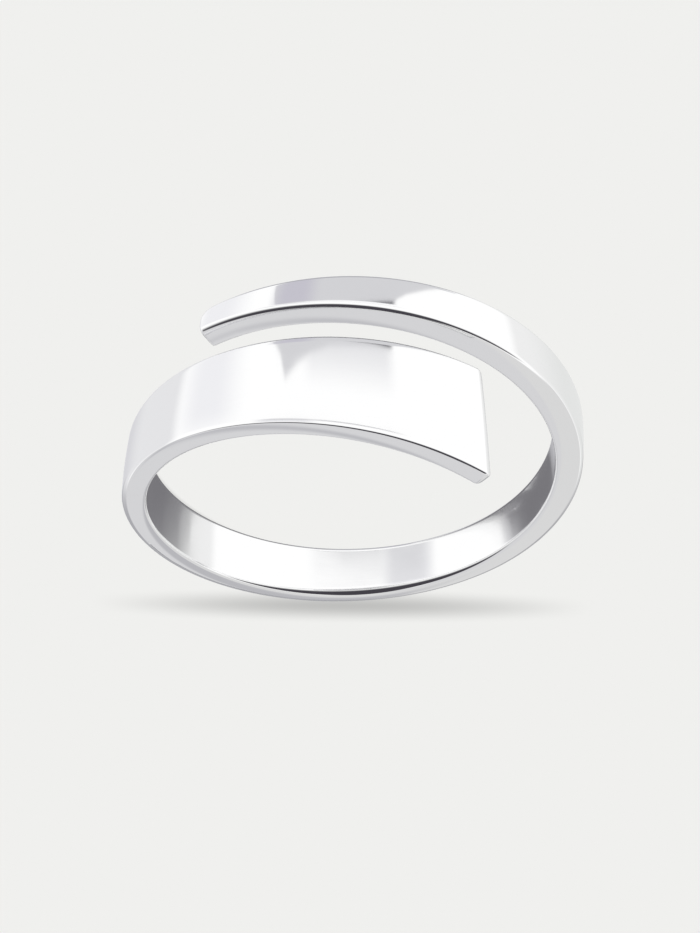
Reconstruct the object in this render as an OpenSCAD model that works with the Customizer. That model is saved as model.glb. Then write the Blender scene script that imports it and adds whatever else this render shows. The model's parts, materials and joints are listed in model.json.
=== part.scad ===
// Twist ring: one polished silver strip, bent once round the finger, whose two free ends pass
// each other on the front. The wide end lies over the narrow one, and the back is a slim shank.
//
// Millimetres, +Z up. The ring lies on its side on the plane z = 0, wide end up, as it comes to
// rest by itself, with the middle of its bounding box over the origin.
// Angles run round the finger: 0 is the middle of the front (-Y), 90 is the +X side and 180 the
// back. The strip starts just before 0 with its wide end and ends just after 360 with its narrow end.

/* [Finger] */
// Diameter of the opening that the finger goes through
bore_d = 17.3; // [15:0.1:21]

/* [Strip] */
// Thickness at the wide end
wide_thickness = 0.85; // [0.7:0.05:1.1]
// Thickness of the narrow arm
narrow_thickness = 1.2; // [0.9:0.05:1.4]
// Angle at which the wide end is cut
wide_end_angle = -34.2; // [-40:0.1:-25]
// Angle at which the narrow end is cut
narrow_end_angle = 399.8; // [390:0.1:402]
// How much further out the upper corner of the wide end stands than its lower corner
wide_end_lean = 0.2; // [0.1:0.05:0.6]
// How much further out the upper corner of the narrow end stands than its lower corner
narrow_end_lean = 0.08; // [0.05:0.01:0.2]

/* [Edges] */
// Radius of the outer edges on the two arms
arm_edge_r = 0.2; // [0.1:0.01:0.25]
// Radius of the outer edges on the shank
shank_edge_r = 0.42; // [0.2:0.01:0.45]
// Width of the broken edges along the bore
bore_edge = 0.12; // [0.05:0.01:0.15]
// Radius of the wide end's two corners, seen from outside
wide_corner_r = 0.3; // [0.1:0.05:0.5]
// Radius of the narrow end's upper corner, seen from outside
narrow_upper_corner_r = 0.2; // [0.1:0.05:0.25]
// Radius of the narrow end's lower corner, seen from outside
narrow_lower_corner_r = 0.6; // [0.2:0.05:0.6]
// Radius of the outer edge across both end faces
end_face_r = 0.15; // [0.05:0.01:0.2]

/* [Mesh] */
// Angle between two sections of the strip
section_step = 3.5; // [2.5:0.5:6]
// Steps in each rounded outer edge
edge_steps = 3; // [2:1:4]

/* [Hidden] */

// The strip's route, a row for every 45 degrees: the angle, the height of its centre line over the
// middle of the shank, its width, how far its thickness has grown from the wide end's to the narrow
// arm's, and how much further out its outer face stands at its upper edge than at its lower edge.
// The first and last rows lie past the ends and only lead in.
ANGLE = 0;
CENTRE = 1;
WIDTH = 2;
GROWTH = 3;
FLARE = 4;
route = [
    [-90, 4.7, 6.2, 0, 0.2],
    [-45, 3.45, 5.45, 0, 0.15],
    [0, 2.35, 4.55, 0.05, 0.1],
    [45, 1.35, 3.6, 0.2, 0.1],
    [90, 0.6, 2.95, 0.45, 0.25],
    [135, 0.2, 2.7, 0.65, 0.1],
    [180, 0, 2.45, 0.75, -0.25],
    [225, -0.2, 2.3, 1.2, -0.1],
    [270, -0.65, 2.3, 1.2, -0.15],
    [315, -1.35, 2.2, 0.95, 0],
    [360, -1.9, 1.75, 1.1, 0.2],
    [405, -2.05, 1.1, 0.8, 0.05],
    [450, -1.7, 0.3, 0.5, 0],
];
row_step = route[1][ANGLE] - route[0][ANGLE];

// Where the slim edges of the arms turn into the rounder edges of the shank, and back
shank_starts = 40;
shank_ends = 260;
edge_change = 80;

// Length of strip next to each end that gets closer sections, and their number
end_reach = 0.6;
end_sections = 5;

// Length of strip over which the lean of an end cut fades out
lean_reach = 1.5;

// Metal left inside the bore radius, which the bore then cuts away
bore_stock = 0.15;

// The ring touches the surface with the back of its shank and with the lower edge of its narrow arm
shank_touch = 200;
arm_touch = 375;
// Lean to the side that brings the weight over the line between those two places
side_lean = -0.4;

bore_r = bore_d / 2;
strip_r = bore_r + (wide_thickness + narrow_thickness) / 4;
mm_per_degree = strip_r * PI / 180;

function ease(x) = let (u = max(0, min(1, x))) u * u * (3 - 2 * u);

// Weights of four neighbouring rows in a uniform cubic spline
function row_weights(f) = [
    pow(1 - f, 3),
    3 * pow(f, 3) - 6 * f * f + 4,
    -3 * pow(f, 3) + 3 * f * f + 3 * f + 1,
    pow(f, 3)
] / 6;

function on_route(column, angle) =
    let (place = (angle - route[0][ANGLE]) / row_step, row = floor(place))
    row_weights(place - row) * [for (k = [-1:2]) route[row + k][column]];

// How far a rounding of the given radius cuts in at a distance from its end
function cut_in(distance, radius) =
    distance >= radius ? 0 : radius - sqrt(pow(radius, 2) - pow(radius - max(distance, 0), 2));

function from_wide_end(angle) = (angle - wide_end_angle) * mm_per_degree;
function from_narrow_end(angle) = (narrow_end_angle - angle) * mm_per_degree;

function upper_edge(angle) =
    on_route(CENTRE, angle) + on_route(WIDTH, angle) / 2
    - cut_in(from_wide_end(angle), wide_corner_r)
    - cut_in(from_narrow_end(angle), narrow_upper_corner_r);

function lower_edge(angle) =
    on_route(CENTRE, angle) - on_route(WIDTH, angle) / 2
    + cut_in(from_wide_end(angle), wide_corner_r)
    + cut_in(from_narrow_end(angle), narrow_lower_corner_r);

function outer_r(angle) =
    bore_r + wide_thickness
    + (narrow_thickness - wide_thickness) * on_route(GROWTH, angle)
    - cut_in(from_wide_end(angle), end_face_r)
    - cut_in(from_narrow_end(angle), end_face_r);

function shank_share(angle) =
    ease((angle - shank_starts) / edge_change) * (1 - ease((angle - shank_ends) / edge_change));

function edge_r(angle) =
    let (wanted = arm_edge_r + (shank_edge_r - arm_edge_r) * shank_share(angle))
    min(wanted, (upper_edge(angle) - lower_edge(angle)) * 0.45, (outer_r(angle) - bore_r) * 0.8);

// Points of one rounded outer edge as [radius, height], from one compass direction to the other
function rounded_edge(centre, radius, from, to) =
    [for (k = [0:edge_steps])
        let (turn = from + (to - from) * k / edge_steps)
        centre + radius * [cos(turn), sin(turn)]];

// The strip's section as [radius, height] points, anticlockwise from its lower inner corner
function section(angle) =
    let (
        up = upper_edge(angle),
        low = lower_edge(angle),
        middle = (up + low) / 2,
        out = outer_r(angle),
        flare = on_route(FLARE, angle) / 2,
        round = edge_r(angle),
        inner_cut = bore_edge + bore_stock,
        least_half = 0.05
    )
    concat(
        [[bore_r - bore_stock, min(low + inner_cut, middle - least_half)], [bore_r + bore_edge, low]],
        rounded_edge([out - flare - round, low + round], round, -90, 0),
        rounded_edge([out + flare - round, up - round], round, 0, 90),
        [[bore_r + bore_edge, up], [bore_r - bore_stock, max(up - inner_cut, middle + least_half)]]
    );

// Length of strip that a section gains from its lower edge to its upper edge, near a leaning end cut
function end_lean(angle) =
    narrow_end_lean * max(0, 1 - from_narrow_end(angle) / lean_reach)
    - wide_end_lean * max(0, 1 - from_wide_end(angle) / lean_reach);

function around(point, angle) = [point[0] * sin(angle), -point[0] * cos(angle), point[1]];

// A point of a section in its place on the ring
function placed(point, angle) =
    let (share = (point[1] - on_route(CENTRE, angle)) / on_route(WIDTH, angle))
    around(point, angle + share * end_lean(angle) / mm_per_degree);

end_offsets = [for (k = [0:end_sections])
    end_reach / mm_per_degree * (1 - cos(90 * k / end_sections))];
first_whole = wide_end_angle + end_offsets[end_sections];
last_whole = narrow_end_angle - end_offsets[end_sections];
whole_steps = ceil((last_whole - first_whole) / section_step);
stations = concat(
    [for (offset = end_offsets) wide_end_angle + offset],
    [for (k = [1:whole_steps - 1]) first_whole + (last_whole - first_whole) * k / whole_steps],
    [for (k = [end_sections:-1:0]) narrow_end_angle - end_offsets[k]]
);

sections = [for (angle = stations) section(angle)];
corners = len(sections[0]);
last_station = len(stations) - 1;

strip_points = [
    for (i = [0:last_station]) for (point = sections[i]) placed(point, stations[i])
];

strip_sides = [
    for (i = [0:last_station - 1]) for (j = [0:corners - 1])
        let (here = i * corners, next = here + corners, k = (j + 1) % corners)
        for (face = [[here + j, here + k, next + k], [here + j, next + k, next + j]]) face
];
wide_face = [for (j = [corners - 1:-1:0]) j];
narrow_face = [for (j = [0:corners - 1]) last_station * corners + j];

// Fore-and-aft lean of the finger axis, from the heights of the two places that touch
arm_foot = [bore_r + bore_edge, lower_edge(arm_touch)];
shank_foot = [
    outer_r(shank_touch) - on_route(FLARE, shank_touch) / 2 - edge_r(shank_touch),
    lower_edge(shank_touch)
];
touch_span = norm(around([arm_foot[0], 0], arm_touch) - around([shank_foot[0], 0], shank_touch));
back_lean = atan((shank_foot[1] - arm_foot[1]) / touch_span);

function leaned(p) =
    let (
        y = p[1] * cos(back_lean) + p[2] * sin(back_lean),
        z = -p[1] * sin(back_lean) + p[2] * cos(back_lean)
    )
    [p[0] * cos(side_lean) + z * sin(side_lean), y, -p[0] * sin(side_lean) + z * cos(side_lean)];

leaned_points = [for (p = strip_points) leaned(p)];
low_corner = [for (i = [0:2]) min([for (p = leaned_points) p[i]])];
high_corner = [for (i = [0:2]) max([for (p = leaned_points) p[i]])];

module laid_down() {
    translate([-(low_corner[0] + high_corner[0]) / 2, -(low_corner[1] + high_corner[1]) / 2, -low_corner[2]])
        rotate([-back_lean, side_lean, 0])
            children();
}

module finger_bore() {
    bore_reach = 12;
    cylinder(h = 2 * bore_reach, r = bore_r, center = true, $fn = 180);
}

module band() {
    color([0.86, 0.86, 0.87])
        laid_down()
            difference() {
                polyhedron(points = strip_points, faces = concat(strip_sides, [wide_face, narrow_face]));
                finger_bore();
            }
}

band();
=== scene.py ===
"""A polished silver twist ring that lies on its side on a pale floor, in soft studio light.

Sizes are in millimetres and in the ring's own frame, as on the solid: the bore's axis is Z, the
middle of the shank is at height 0, and angles run round the finger from 0 at the middle of the
front (-Y) over 90 at +X to 180 at the back. ring_place turns that frame into the model's metres.
"""
import json
import math
from collections import namedtuple

import bpy
from mathutils import Color, Matrix, Vector


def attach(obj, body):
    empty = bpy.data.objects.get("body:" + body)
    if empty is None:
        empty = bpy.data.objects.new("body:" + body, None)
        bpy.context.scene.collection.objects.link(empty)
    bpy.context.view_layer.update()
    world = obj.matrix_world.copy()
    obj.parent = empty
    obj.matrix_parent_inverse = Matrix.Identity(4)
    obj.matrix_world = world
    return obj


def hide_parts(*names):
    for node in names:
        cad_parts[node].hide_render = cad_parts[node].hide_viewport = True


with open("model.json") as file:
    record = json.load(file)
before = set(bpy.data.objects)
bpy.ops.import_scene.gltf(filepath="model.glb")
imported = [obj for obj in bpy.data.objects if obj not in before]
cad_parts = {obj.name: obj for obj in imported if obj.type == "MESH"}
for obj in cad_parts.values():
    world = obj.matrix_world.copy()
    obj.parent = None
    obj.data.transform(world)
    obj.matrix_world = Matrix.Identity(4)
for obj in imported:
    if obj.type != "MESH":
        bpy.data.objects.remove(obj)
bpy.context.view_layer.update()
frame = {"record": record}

MM = 0.001
FULL_TURN = 360

# The strip's sizes, the same as the solid's but for the wide end, which is cut 0.9 degrees later
BORE_R = 8.65
WIDE_THICKNESS = 0.85
NARROW_THICKNESS = 1.2
WIDE_END = -35.1
NARROW_END = 399.8

# The strip's route, a row for every 45 degrees. Centre, width, growth and flare are the solid's:
# growth is how far the thickness has grown from the wide end's to the narrow arm's, and flare is
# how much further out the outer face stands at its upper edge than at its lower edge. Dome is the
# angle that the outer face curves by towards each edge, and the last three are the radii of its
# upper outer edge, its lower outer edge and its upper bore edge.
Row = namedtuple("Row", "angle centre width growth flare dome upper lower bore")
ROUTE = [
    Row(-90, 4.7, 6.2, 0, 0.2, 2, 0.12, 0.15, 0.13),
    Row(-45, 3.45, 5.45, 0, 0.15, 2, 0.11, 0.15, 0.13),
    Row(0, 2.35, 4.55, 0.05, 0.1, 2, 0.08, 0.15, 0.13),
    Row(45, 1.35, 3.6, 0.2, 0.1, 2, 0.01, 0.15, 0.13),
    Row(90, 0.6, 2.95, 0.45, 0.25, 4, 0.38, 0.30, 0.13),
    Row(135, 0.2, 2.7, 0.65, 0.1, 8, 0.42, 0.42, 0.02),
    Row(180, 0, 2.45, 0.75, -0.25, 8, 0.42, 0.42, 0.40),
    Row(225, -0.2, 2.3, 1.2, -0.1, 8, 0.42, 0.42, 0.13),
    Row(270, -0.65, 2.3, 1.2, -0.15, 4, 0.36, 0.30, 0.13),
    Row(315, -1.35, 2.2, 0.95, 0, 3, 0.13, 0.15, 0.13),
    Row(360, -1.9, 1.75, 1.1, 0.2, 2, 0.12, 0.15, 0.13),
    Row(405, -2.05, 1.1, 0.8, 0.05, 2, 0.26, 0.15, 0.13),
    Row(450, -1.7, 0.3, 0.5, 0, 2, 0.26, 0.15, 0.13),
]
ROW_STEP = 45

# What the modifier's named inputs get
STRIP_SIZES = {
    "Bore radius": BORE_R,
    "Wide thickness": WIDE_THICKNESS,
    "Narrow thickness": NARROW_THICKNESS,
    "Wide end": WIDE_END,
    "Narrow end": NARROW_END,
    "Wide upper corner radius": 0.42,
    "Wide lower corner radius": 0.4,
    "Narrow upper corner radius": 0.2,
    "Narrow lower corner radius": 0.6,
    "Lower bore edge radius": 0.13,
    "Wide end rounding": 0.4,
    "Wide edge rounding": 0.06,
    "Narrow end rounding": 0.12,
    "Narrow edge rounding": 0.12,
    "Wide end lean": 0.12,
    "Narrow end lean": 0.0,
    "Narrow end bevel": 0.28,
    "Side crown": 0.03,
    "Shoulder width": 0.2,
    "Shoulder drop": 0.035,
    "Sections": 720,
    "Section points": 73,
}

# Rows of points in the closing of each end, and how much narrower than its flat face the slit is
# that shuts it
CAP_ROWS = 20
SLIT_SHARE = 0.3

# Share of each quarter of a section that its flat side takes
FLAT_SHARE = 0.5

# How much closer together points lie at the ends of the strip and of each flat side
END_CROWDING = 0.8
SIDE_CROWDING = 0.7

# Largest share of the strip's half width or half thickness that an edge's radius takes
EDGE_SHARE = 0.9

# Where the narrow arm's soft shoulder starts, over how many degrees it comes in, and how much
# faster than the shoulder itself its start is softened
SHOULDER_START = 335
SHOULDER_FADE = 15
SHOULDER_SOFTENING = 3

# Length of strip over which the lean and the bevel of an end cut fade out
LEAN_REACH = 1.5

# Smallest half width that a place across the outer face is measured against
LEAST_HALF = 0.01

# Points closer than this are one point: the closed ends fall together
MERGE_DISTANCE = 0.00002

# Camera, in the ring's own frame: its angle over the ring's plane, its roll, how far off it stands
# and how far it is moved to its right and upwards, the nearest that it sees, its lens and sensor
VIEW_ELEVATION = 33.526
VIEW_ROLL = 179.559
VIEW_DISTANCE = 106.05
VIEW_RIGHT = -0.0796
VIEW_UP = -0.0476
NEAREST_SEEN = 5
LENS = 96
SENSOR = 36


def smooth(x):
    """The soft step of the solid's source, for a wire from 0 to 1."""
    held = x.clamp(0, 1)
    return held * held * (3 - 2 * held)


def active_socket(sockets, key):
    """A node's socket by number, or the enabled one of a name that several of its sockets share."""
    if isinstance(key, int):
        return sockets[key]
    return next(socket for socket in sockets if socket.name == key and socket.enabled)


def add_node(tree, kind, settings=None, sockets=None, outlet=0):
    """Adds a node, sets its settings and then its sockets, and gives one outlet as a wire."""
    node = tree.nodes.new(kind)
    for name, value in (settings or {}).items():
        setattr(node, name, value)
    for key, value in (sockets or {}).items():
        socket = active_socket(node.inputs, key)
        if isinstance(value, Wire):
            tree.links.new(value.socket, socket)
        else:
            socket.default_value = value
    return Wire(active_socket(node.outputs, outlet)) if len(node.outputs) else node


class Wire:
    """An outlet of a node. Python's operators on it add Math nodes to its tree."""

    def __init__(self, socket):
        self.socket = socket

    def node(self, kind, settings=None, sockets=None, outlet=0):
        return add_node(self.socket.id_data, kind, settings, sockets, outlet)

    def math(self, operation, *operands):
        return self.node("ShaderNodeMath", {"operation": operation}, dict(enumerate(operands)))

    def __add__(self, other):
        return self.math("ADD", self, other)

    def __radd__(self, other):
        return self.math("ADD", other, self)

    def __sub__(self, other):
        return self.math("SUBTRACT", self, other)

    def __rsub__(self, other):
        return self.math("SUBTRACT", other, self)

    def __mul__(self, other):
        return self.math("MULTIPLY", self, other)

    def __rmul__(self, other):
        return self.math("MULTIPLY", other, self)

    def __truediv__(self, other):
        return self.math("DIVIDE", self, other)

    def __neg__(self):
        return self.math("MULTIPLY", self, -1)

    def absolute(self):
        return self.math("ABSOLUTE", self)

    def whole(self):
        """The whole number below."""
        return self.math("FLOOR", self)

    def least(self, other):
        return self.math("MINIMUM", self, other)

    def most(self, other):
        return self.math("MAXIMUM", self, other)

    def clamp(self, low, high):
        return self.most(low).least(high)

    def root(self):
        return self.math("SQRT", self.most(0))

    def sine(self):
        """The sine of an angle in degrees."""
        return self.math("SINE", self * (math.pi / 180))

    def cosine(self):
        return self.math("COSINE", self * (math.pi / 180))

    def dot(self, axis):
        """How far a vector reaches along an axis."""
        sockets = {0: self, 1: axis}
        return self.node("ShaderNodeVectorMath", {"operation": "DOT_PRODUCT"}, sockets, "Value")

    def parts(self):
        """The three parts of a vector."""
        split = self.node("ShaderNodeSeparateXYZ", sockets={0: self}).socket.node
        return [Wire(outlet) for outlet in split.outputs]


def mix_numbers(start, end, share):
    return start * (1 - share) + end * share


def mix_colours(tree, share, start, end):
    sockets = {"Factor": share, "A": start, "B": end}
    return add_node(tree, "ShaderNodeMix", {"data_type": "RGBA"}, sockets, "Result")


# The frame of the ring, from the finger opening's mount, which lies half way up the bore's wall
opening = next(m for m in frame["record"]["mounts"] if m["name"] == "finger_opening")
opening_axis = Vector(opening["axis"]).normalized()
WALL_MIDDLE = 1.5125
ring_centre = Vector(opening["pos_m"]) - opening_axis * WALL_MIDDLE * MM
back_lean = math.asin(opening_axis.y)
side_lean = math.atan2(opening_axis.x, opening_axis.z)
ring_turn = Matrix.Rotation(side_lean, 4, "Y") @ Matrix.Rotation(-back_lean, 4, "X")
ring_place = Matrix.Translation(ring_centre) @ ring_turn


def add_inputs(tree, sizes):
    """Gives a node tree a geometry input and output and a named input for each size."""
    face = tree.interface
    face.new_socket("Geometry", in_out="INPUT", socket_type="NodeSocketGeometry")
    face.new_socket("Geometry", in_out="OUTPUT", socket_type="NodeSocketGeometry")
    for name, value in sizes.items():
        kind = "NodeSocketInt" if isinstance(value, int) else "NodeSocketFloat"
        face.new_socket(name, in_out="INPUT", socket_type=kind)
    node = tree.nodes.new("NodeGroupInput")
    return {name: Wire(node.outputs[name]) for name in sizes}


def spline_columns(angle):
    """The columns of the route table at an angle, by a smooth cubic spline through its rows."""
    humps = []
    for row in ROUTE:
        off = ((angle - row.angle) / ROW_STEP).absolute()
        outer = (2 - off).most(0)
        inner = (1 - off).most(0)
        humps.append((outer * outer * outer - inner * inner * inner * 4) / 6)
    columns = {}
    for name in Row._fields[1:]:
        total = None
        for row, hump in zip(ROUTE, humps):
            part = hump * getattr(row, name)
            total = part if total is None else total + part
        columns[name] = total
    return Row(angle=angle, **columns)


def cut_in(distance, radius):
    """How far a rounding of the given radius cuts in at a distance from its end."""
    short = radius - distance.clamp(0, radius)
    return radius - (radius * radius - short * short).root()


def strip_tree(silver):
    """The node tree that bends a grid of points into the ring's strip, in millimetres."""
    tree = bpy.data.node_groups.new("twist_strip", "GeometryNodeTree")
    size = add_inputs(tree, STRIP_SIZES)
    grid = add_node(
        tree,
        "GeometryNodeMeshGrid",
        sockets={
            "Size X": 1,
            "Size Y": 1,
            "Vertices X": size["Sections"],
            "Vertices Y": size["Section points"],
        },
    )
    place = add_node(tree, "GeometryNodeInputPosition").parts()
    row_number = (place[0] + 0.5) * (size["Sections"] - 1)
    round_share = place[1] + 0.5

    # Along the strip: a closing at each end and the long stretch between them
    strip_r = size["Bore radius"] + (size["Wide thickness"] + size["Narrow thickness"]) / 4
    per_degree = strip_r * (math.pi / 180)
    narrow_row_number = size["Sections"] - 1 - row_number
    long_share = ((row_number - CAP_ROWS) / (size["Sections"] - 1 - 2 * CAP_ROWS)).clamp(0, 1)
    long_share = long_share - (long_share * FULL_TURN).sine() * (END_CROWDING / (2 * math.pi))

    def closing(number, depth, edge_depth):
        """For a row counted from an end: its distance from the end's plane, how far its two faces
        and its two edges are drawn in, and how far its thickness is shut."""
        turn = ((number - 1) / (CAP_ROWS - 1)).clamp(0, 1) * 90
        drawn = 1 - turn.sine()
        return depth * (1 - turn.cosine()), depth * drawn, edge_depth * drawn, 1 - number.clamp(0, 1)

    wide_round = size["Wide end rounding"]
    narrow_round = size["Narrow end rounding"]
    wide_gone, wide_faces, wide_edges, wide_shut = closing(
        row_number, wide_round, size["Wide edge rounding"]
    )
    narrow_gone, narrow_faces, narrow_edges, narrow_shut = closing(
        narrow_row_number, narrow_round, size["Narrow edge rounding"]
    )
    faces_in = wide_faces + narrow_faces
    edges_in = wide_edges + narrow_edges
    open_share = 1 - wide_shut - narrow_shut
    length = (size["Narrow end"] - size["Wide end"]) * per_degree
    stretch = length - wide_round - narrow_round
    gone = wide_gone + long_share * stretch + (narrow_round - narrow_gone)
    left = length - gone
    angle = size["Wide end"] + gone / per_degree
    row = spline_columns(angle)

    # The section's box: two edges, bore side and outer side
    top = row.centre + row.width / 2 - cut_in(gone, size["Wide upper corner radius"])
    top = top - cut_in(left, size["Narrow upper corner radius"])
    foot = row.centre - row.width / 2 + cut_in(gone, size["Wide lower corner radius"])
    foot = foot + cut_in(left, size["Narrow lower corner radius"])
    thickness = mix_numbers(size["Wide thickness"], size["Narrow thickness"], row.growth)
    half_width = ((top - foot) / 2 - edges_in) * (1 - SLIT_SHARE * (1 - open_share))
    half_thickness = (thickness / 2 - faces_in) * open_share
    middle_z = (top + foot) / 2
    middle_r = size["Bore radius"] + thickness / 2

    # Round the section: a flat side and then a corner in each quarter, from the foot of the outer face
    quarter = round_share * 4
    number = quarter.whole().least(3)
    part = quarter - number
    slide = (part / FLAT_SHARE).clamp(0, 1)
    slide = slide - (slide * FULL_TURN).sine() * (SIDE_CROWDING / (2 * math.pi))
    turn = (number + ((part - FLAT_SHARE) / (1 - FLAT_SHARE)).clamp(0, 1)) * 90
    corner = number - 1 + slide
    outer_share = (1 - corner).most(corner - 2).clamp(0, 1)
    upper_share = (corner + 1).least(2 - corner).clamp(0, 1)
    outer_r = mix_numbers(row.lower, row.upper, upper_share)
    inner_r = mix_numbers(size["Lower bore edge radius"], row.bore, upper_share)
    edge_r = (mix_numbers(inner_r, outer_r, outer_share) - edges_in).most(0)
    edge_r = edge_r.least(half_width * EDGE_SHARE).least(half_thickness * EDGE_SHARE)
    across = (half_width - edge_r) * (upper_share * 2 - 1) + edge_r * turn.sine()
    out = (half_thickness - edge_r) * (outer_share * 2 - 1) + edge_r * turn.cosine()

    # The outer face flares, curves and ends in a soft shoulder along its upper edge
    full_half = (top - foot) / 2
    side = across / full_half.most(LEAST_HALF)
    flare_rise = row.flare * across / row.width
    dome_drop = row.dome.sine() * full_half * side * side / 2
    narrow_arm = smooth((angle - SHOULDER_START) / SHOULDER_FADE)
    to_edge = 1 - (full_half - across) / size["Shoulder width"]
    shoulder = size["Shoulder drop"] * narrow_arm * to_edge.clamp(0, 1)
    shoulder = shoulder * smooth(to_edge * SHOULDER_SOFTENING)
    rise = (flare_rise - dome_drop - shoulder) * outer_share * open_share
    reach = middle_r + out + rise

    # Each side face is slightly crowned between the bore and the outer face
    off_middle = out / (thickness / 2)
    crown = size["Side crown"] * off_middle * off_middle * (upper_share * 2 - 1)
    height = middle_z + across - crown

    # Leaning end cuts, and the bevel that leaves the narrow end's bore edge longest
    near_wide = (1 - gone / LEAN_REACH).clamp(0, 1)
    near_narrow = (1 - left / LEAN_REACH).clamp(0, 1)
    lean = size["Narrow end lean"] * near_narrow - size["Wide end lean"] * near_wide
    shift = lean * across / row.width - size["Narrow end bevel"] * near_narrow * out / thickness
    place_angle = angle + shift / per_degree
    point = grid.node(
        "ShaderNodeCombineXYZ",
        sockets={0: reach * place_angle.sine(), 1: -(reach * place_angle.cosine()), 2: height},
    )
    where = grid.node("ShaderNodeCombineXYZ", sockets={0: gone, 1: reach, 2: height})

    noted = grid.node(
        "GeometryNodeStoreNamedAttribute",
        {"data_type": "FLOAT_VECTOR", "domain": "POINT"},
        {"Geometry": grid, "Name": "on_strip", "Value": where},
    )
    bent = grid.node("GeometryNodeSetPosition", sockets={"Geometry": noted, "Position": point})
    closed = grid.node(
        "GeometryNodeMergeByDistance", sockets={"Geometry": bent, "Distance": MERGE_DISTANCE}
    )
    rounded = grid.node("GeometryNodeSetShadeSmooth", sockets={0: closed})
    real = grid.node("GeometryNodeRealizeInstances", sockets={0: rounded})
    silvered = grid.node("GeometryNodeSetMaterial", sockets={"Geometry": real, "Material": silver})
    end = tree.nodes.new("NodeGroupOutput")
    tree.links.new(silvered.socket, end.inputs[0])
    return tree


def add_object(name, data):
    """A new object in the scene, for a mesh, a camera or a lamp."""
    added = bpy.data.objects.new(name, data)
    bpy.context.scene.collection.objects.link(added)
    return added


def made_by_nodes(name, tree, sizes):
    """A plain mesh object in the model's metres, from a node tree's evaluated result."""
    maker = add_object(name + "_maker", bpy.data.meshes.new(name + "_maker"))
    modifier = maker.modifiers.new("Strip", "NODES")
    modifier.node_group = tree
    for item in tree.interface.items_tree:
        if item.in_out == "INPUT" and item.name in sizes:
            modifier[item.identifier] = sizes[item.name]
    graph = bpy.context.evaluated_depsgraph_get()
    mesh = bpy.data.meshes.new_from_object(maker.evaluated_get(graph), depsgraph=graph)
    mesh.name = name
    bpy.data.objects.remove(maker)
    mesh.transform(ring_place @ Matrix.Scale(MM, 4))
    return add_object(name, mesh)


# The silver: its tone between and on the polishing lines, its roughness, and what the lines, the
# wiping marks and the bore's wall add to that
LIGHT_TONE = (0.955, 0.955, 0.955, 1)
LINE_TONE = (0.935, 0.935, 0.938, 1)
PLAIN_ROUGH = 0.035
LINE_ROUGH = 0.03
WIPING_ROUGH = 0.03
BORE_ROUGH = 0.015

# How clearly the wiping marks stand out, where they start, and how grainy they and the lines are
WIPING_CONTRAST = 2
WIPING_START = 0.6
GRAININESS = 0.55

# The radius at which the bore's wall ends, and the depth over which its duller finish fades out
BORE_WALL_END = BORE_R + 0.02
BORE_WALL_FADE = 0.1


def polished_silver():
    """Silver with fine polishing lines along the strip, soft wiping marks and a duller bore."""
    silver = bpy.data.materials.new("polished_silver")
    silver.use_nodes = True
    tree = silver.node_tree
    shader = tree.nodes["Principled BSDF"]
    shader.inputs["Metallic"].default_value = 1
    strip = add_node(tree, "ShaderNodeAttribute", {"attribute_name": "on_strip"}, outlet="Vector")
    gone, reach, height = strip.parts()

    def noise(stretch, scale, detail):
        place = strip.node("ShaderNodeCombineXYZ", sockets={0: gone * stretch, 1: reach, 2: height})
        return strip.node(
            "ShaderNodeTexNoise",
            sockets={"Vector": place, "Scale": scale, "Detail": detail, "Roughness": GRAININESS},
        )

    lines = noise(stretch=0.02, scale=22, detail=3)
    marks = noise(stretch=0.6, scale=0.9, detail=2)
    wiping = smooth(marks * WIPING_CONTRAST - WIPING_START)
    inside = 1 - smooth((reach - BORE_WALL_END) / BORE_WALL_FADE)
    rough = PLAIN_ROUGH + lines * LINE_ROUGH + wiping * WIPING_ROUGH + inside * BORE_ROUGH
    tree.links.new(rough.socket, shader.inputs["Roughness"])
    tone = mix_colours(tree, lines, LIGHT_TONE, LINE_TONE)
    tree.links.new(tone.socket, shader.inputs["Base Color"])
    return silver


silver = polished_silver()
band = made_by_nodes("silver_band", strip_tree(silver), STRIP_SIZES)
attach(band, "root")
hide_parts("band")


# Camera
view = bpy.data.cameras.new("photo_view")
view.lens = LENS
view.sensor_fit = "VERTICAL"
view.sensor_height = SENSOR
view.sensor_width = SENSOR
view.clip_start = NEAREST_SEEN * MM
camera = add_object("photo_view", view)
camera.matrix_world = (
    ring_place
    @ Matrix.Rotation(math.radians(90 - VIEW_ELEVATION), 4, "X")
    @ Matrix.Rotation(math.radians(VIEW_ROLL), 4, "Z")
    @ Matrix.Translation(Vector((VIEW_RIGHT, VIEW_UP, VIEW_DISTANCE)) * MM)
)
bpy.context.scene.camera = camera

# Floor: the grey that it shows, the share of the light that it gives back, half its side in metres
FLOOR_GREY = (240, 240, 238)
FLOOR_ALBEDO = 0.8
FLOOR_HALF = 4
BLACK = (0, 0, 0, 1)

# The photo shows no shadow but a soft flat band behind the shank, so that band is a painted
# shadow in the floor's paint, with a crescent of painted shadow that joins it to the shank. The
# photo's view doesn't see the crescent. Lengths are in millimetres and in the ring's own frame.
SHADE_LOSS = 0.4
BAND_MIDDLE = 0.5
BAND_HALF_LENGTH = 12
BAND_BACK = 13.51
BAND_SLOPE = -0.022
BAND_TIP_REACH = 0.9
BAND_MORE_REACH = 0.65
CRESCENT_R = 9.1
CRESCENT_WIDTH = 4.2
CRESCENT_NEAR_SOFT = 0.5
CRESCENT_FAR_SOFT = 1.5
CRESCENT_SHARE = 0.9


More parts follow.
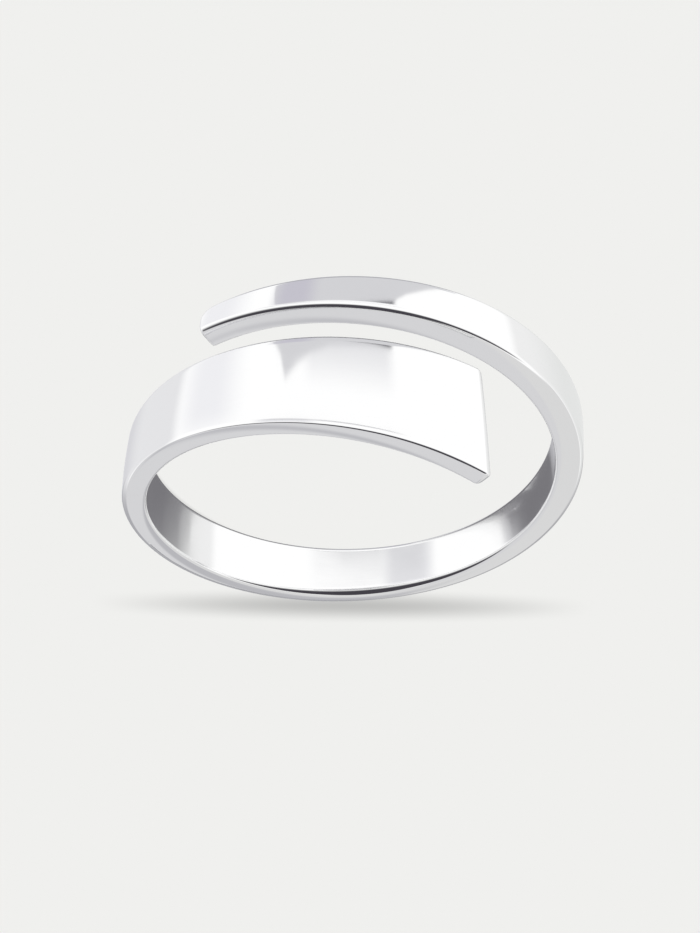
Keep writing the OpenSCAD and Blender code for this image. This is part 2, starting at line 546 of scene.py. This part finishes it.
def painted_floor_shadow(tree):
    """The share by which the painted shadow darkens the floor's colour, as a wire."""
    place = add_node(tree, "ShaderNodeNewGeometry", outlet="Position")
    offset = place.node(
        "ShaderNodeVectorMath", {"operation": "SUBTRACT"}, {0: place, 1: ring_centre}, "Vector"
    )
    x, y = [offset.dot(column.xyz / MM) for column in ring_turn.col[:2]]
    along_band = x - BAND_MIDDLE
    length_share = along_band / BAND_HALF_LENGTH
    taper = (1 - length_share * length_share).most(0)
    off_band = y - (along_band * BAND_SLOPE + BAND_BACK)
    share = off_band.absolute() / (taper * BAND_MORE_REACH + BAND_TIP_REACH)
    soft_band = taper * taper.root() * smooth(1 - share)
    across = (1 - x * x / CRESCENT_R**2).root()
    behind = y - across * CRESCENT_R
    crescent = smooth(behind / CRESCENT_NEAR_SOFT)
    crescent = crescent * smooth((CRESCENT_WIDTH - behind) / CRESCENT_FAR_SOFT) * across
    return (soft_band + crescent * CRESCENT_SHARE).least(1) * SHADE_LOSS


def linear(grey):
    """A colour of 0 to 255 in linear light."""
    return Color([part / 255 for part in grey]).from_srgb_to_scene_linear()


def floor_plane():
    """The pale floor, whose paint has the painted shadow: the soft band and the crescent."""
    corners = [(-1, -1), (1, -1), (1, 1), (-1, 1)]
    mesh = bpy.data.meshes.new("floor")
    mesh.from_pydata([(x * FLOOR_HALF, y * FLOOR_HALF, 0) for x, y in corners], [], [(0, 1, 2, 3)])
    floor = add_object("floor", mesh)
    paint = bpy.data.materials.new("floor_paint")
    paint.use_nodes = True
    shader = paint.node_tree.nodes["Principled BSDF"]
    tone = linear(FLOOR_GREY)
    lightest = max(tone)
    pale = [FLOOR_ALBEDO * part / lightest for part in tone] + [1]
    # The floor's colour is darkened towards black where the painted shadow lies
    shaded = mix_colours(paint.node_tree, painted_floor_shadow(paint.node_tree), pale, BLACK)
    paint.node_tree.links.new(shaded.socket, shader.inputs["Base Color"])
    shader.inputs["Roughness"].default_value = 1
    shader.inputs["Specular IOR Level"].default_value = 0
    mesh.materials.append(paint)
    floor.visible_glossy = False
    floor.visible_shadow = False


floor_plane()


# Two dark sheets below the back of the ring, which only the silver sees: the bore's two sides
# mirror them. Each row is a line from the ring's middle outwards and how dense the sheet is there.
Rib = namedtuple("Rib", "near_x near_y far_x far_y near_dense far_dense")
LEFT_SHEET = [
    Rib(3.71, 5.87, -0.9, 6.36, 0, 0),
    Rib(4.35, 5.73, 0.0, 7.12, 0.6, 0.25),
    Rib(5.03, 5.52, 1.0, 7.78, 0.85, 0.6),
    Rib(6.23, 4.96, 3.1, 8.6, 1, 0.8),
    Rib(7.5, 4.0, 5.6, 8.8, 1, 0.9),
    Rib(9.0, 2.0, 9.0, 12, 1, 1),
]
RIGHT_SHEET = [
    Rib(-3.92, 5.9, -0.1, 5.91, 0, 0),
    Rib(-4.39, 5.77, -0.65, 6.3, 0.3, 0.1),
    Rib(-4.88, 5.58, -1.25, 6.6, 0.7, 0.45),
    Rib(-5.49, 5.27, -2.1, 6.9, 1, 0.8),
    Rib(-6.22, 4.79, -3.3, 7.05, 1, 1),
    Rib(-7.54, 3.44, -5.8, 6.55, 1, 1),
    Rib(-8.07, 2.58, -7.0, 5.95, 0.45, 0.8),
    Rib(-9.0, 1.5, -9.0, 6, 0.3, 0.3),
]
SHEET_GREY = (122, 121, 125)
LEFT_LEVEL = -2.9
RIGHT_LEVEL = -2.95


def dark_sheet(name, ribs, level):
    """A sheet of grey gauze through the ribs, at a level in the ring's own frame."""
    points = []
    for rib in ribs:
        points += [(rib.near_x, rib.near_y, level), (rib.far_x, rib.far_y, level)]
    faces = [(k, k + 1, k + 3, k + 2) for k in range(0, len(points) - 2, 2)]
    mesh = bpy.data.meshes.new(name)
    mesh.from_pydata([ring_place @ (Vector(point) * MM) for point in points], [], faces)
    dense = mesh.attributes.new("dense", "FLOAT", "POINT")
    dense.data.foreach_set("value", [d for rib in ribs for d in (rib.near_dense, rib.far_dense)])
    sheet = add_object(name, mesh)
    sheet.visible_camera = False
    sheet.visible_diffuse = False
    sheet.visible_transmission = False
    sheet.visible_shadow = False
    gauze = bpy.data.materials.new(name)
    gauze.use_nodes = True
    tree = gauze.node_tree
    tree.nodes.clear()
    share = add_node(tree, "ShaderNodeAttribute", {"attribute_name": "dense"}, outlet="Fac")
    clear = add_node(tree, "ShaderNodeBsdfTransparent")
    grey = add_node(tree, "ShaderNodeEmission", sockets={"Color": [*linear(SHEET_GREY), 1]})
    mixed = add_node(tree, "ShaderNodeMixShader", sockets={0: smooth(share), 1: clear, 2: grey})
    end = tree.nodes.new("ShaderNodeOutputMaterial")
    tree.links.new(mixed.socket, end.inputs["Surface"])
    mesh.materials.append(gauze)


dark_sheet("left_sheet", LEFT_SHEET, LEFT_LEVEL)
dark_sheet("right_sheet", RIGHT_SHEET, RIGHT_LEVEL)

# The ring itself casts no shadow: the floor's paint has it
band.visible_shadow = False
band.visible_diffuse = False

# Light: a broad soft lamp from the camera's side and an even dome
LAMP_SHARE = 0.39
LAMP_ELEVATION = 38
LAMP_SOFTNESS = 12
floor_level = max(linear(FLOOR_GREY)) / FLOOR_ALBEDO
dome_level = floor_level * (1 - LAMP_SHARE)
lamp_level = floor_level * LAMP_SHARE * math.pi / math.sin(math.radians(LAMP_ELEVATION))

lamp_data = bpy.data.lights.new("soft_lamp", "SUN")
lamp_data.energy = lamp_level
lamp_data.angle = math.radians(LAMP_SOFTNESS)
lamp = add_object("soft_lamp", lamp_data)
lamp.rotation_euler = (math.radians(90 - LAMP_ELEVATION), 0, 0)
lamp.visible_glossy = False

# What the silver mirrors: a white tent with grey cards, by direction in the ring's own frame.
# Azimuth is 0 at -Y and grows towards +X, in degrees, and elevation is over the ring's plane.
# A card's top edge follows a skyline, a few (azimuth, elevation) corners.
WHITE = (255, 255, 255)
SILVER_SHARE = 0.94
Card = namedtuple("Card", "name left right foot skyline soft_side soft_level tone")
FRONT_SKYLINE = [
    (-52, -47),
    (-40, -46.2),
    (-30, -45.2),
    (-25, -44),
    (-22, -42.3),
    (10, -42),
    (20, -41.2),
    (27, -40),
    (31.5, -38.8),
    (33, -38.4),
    (34.5, -39.6),
    (36, -41),
    (40, -42.6),
    (42, -45.5),
    (43, -48),
    (44, -54),
]
CARDS = [
    Card("left_haze", 98, 262, -64, [(0, 4)], 10, 8, (227, 227, 229)),
    Card("left_dusk", 146, 262, -64, [(0, 4)], 30, 8, (210, 210, 214)),
    Card("right_haze", -262, -88, -64, [(0, 4)], 7, 8, (237, 237, 237)),
    Card("right_dusk", -262, -112, -64, [(0, 4)], 40, 8, (225, 226, 225)),
    Card("left_rim", 148, 262, -30, [(0, 14)], 24, 6, (168, 168, 172)),
    Card("right_rim", -262, -150, -30, [(0, 14)], 24, 6, (168, 168, 171)),
    Card("side_haze", 62, 92, -64, [(0, -34)], 22, 4, (238, 238, 241)),
    Card("front_haze", -22, 22, -64, [(-22, -39), (22, -39.5)], 8, 6, (231, 231, 233)),
    Card("front", -60, 45, -64, FRONT_SKYLINE, 1.5, 1.2, (209, 209, 212)),
    Card("front_dark", 21, 41, -64, [(0, -43.2)], 12, 1, (195, 193, 203)),
    Card("hook", -23, 2, -43.4, [(-23, -42.2), (2, -43.4)], 3, 0.4, (58, 57, 66)),
    Card("under", -400, 400, -91, [(0, -63)], 2, 5, (172, 172, 177)),
    Card("bore_grey", 20, 46, -32, [(0, -18)], 10, 0.8, (232, 232, 235)),
    Card("bore_shade", 18, 44, -33, [(0, -31.15)], 15, 1.4, (204, 204, 207)),
    Card("bore_patch", -24, 18, -33, [(-24, -32), (-5, -31.4), (18, -31.4)], 10, 0.3, (206, 206, 208)),
    Card("camera_dark", -80, 100, 21, [(0, 110)], 8, 30, (66, 64, 70)),
    Card("overhead", -400, 400, 80, [(0, 200)], 2, 10, (66, 64, 70)),
    Card("back", 95, 262, 10, [(0, 76)], 14, 8, (210, 210, 212)),
    Card("back_other", -262, -95, 10, [(0, 76)], 14, 8, (214, 214, 214)),
    Card("arm_band", 95, 175, 24, [(0, 32)], 3, 8, (186, 186, 190)),
    Card("shank_band", 179, 262, 10, [(0, 36)], 1.5, 8, (182, 182, 186)),
    Card("shank_band_other", -262, -175.4, 10, [(0, 36)], 2, 8, (182, 182, 186)),
]


def line_through(corners, value):
    """The height of a line through a few (place, height) corners, level beyond its two ends."""
    line = value * 0 + corners[0][1]
    for start, end in zip(corners, corners[1:]):
        slope = (end[1] - start[1]) / (end[0] - start[0])
        line = line + (value.clamp(start[0], end[0]) - start[0]) * slope
    return line


def mirrored(grey):
    """The light that the silver gives back as this colour."""
    return [part / SILVER_SHARE for part in linear(grey)] + [1]


def tent(tree):
    """The colour of the tent in a direction, as a wire."""
    ray = add_node(tree, "ShaderNodeTexCoord", outlet="Generated")
    x, y, z = [ray.dot(column.xyz) for column in ring_turn.col[:3]]
    azimuth = x.math("ARCTAN2", x, -y) * (180 / math.pi)
    elevation = z.math("ARCSINE", z.clamp(-1, 1)) * (180 / math.pi)

    def rise(value, at, soft):
        """Goes from 0 to 1 round a place, over a soft stretch."""
        return smooth((value - at) / soft + 0.5)

    shade = mirrored(WHITE)
    for card in CARDS:
        inside = rise(elevation, card.foot, card.soft_level)
        inside = inside * rise(azimuth, card.left, card.soft_side)
        inside = inside * (1 - rise(azimuth, card.right, card.soft_side))
        inside = inside * rise(line_through(card.skyline, azimuth) - elevation, 0, card.soft_level)
        shade = mix_colours(tree, inside, shade, mirrored(card.tone))
    return shade


def studio_world():
    """The tent for what the silver mirrors, an even dome for the floor and a pale backdrop."""
    world = bpy.data.worlds.new("studio")
    world.use_nodes = True
    bpy.context.scene.world = world
    tree = world.node_tree
    tree.nodes.clear()
    path = tree.nodes.new("ShaderNodeLightPath")
    backdrop = [*linear(FLOOR_GREY), 1]
    dome = [dome_level, dome_level, dome_level, 1]
    picked = mix_colours(tree, Wire(path.outputs["Is Glossy Ray"]), dome, tent(tree))
    picked = mix_colours(tree, Wire(path.outputs["Is Camera Ray"]), picked, backdrop)
    light = add_node(tree, "ShaderNodeBackground", sockets={"Color": picked, "Strength": 1})
    end = tree.nodes.new("ShaderNodeOutputWorld")
    tree.links.new(light.socket, end.inputs["Surface"])


studio_world()
bpy.context.scene.view_settings.view_transform = "Standard"
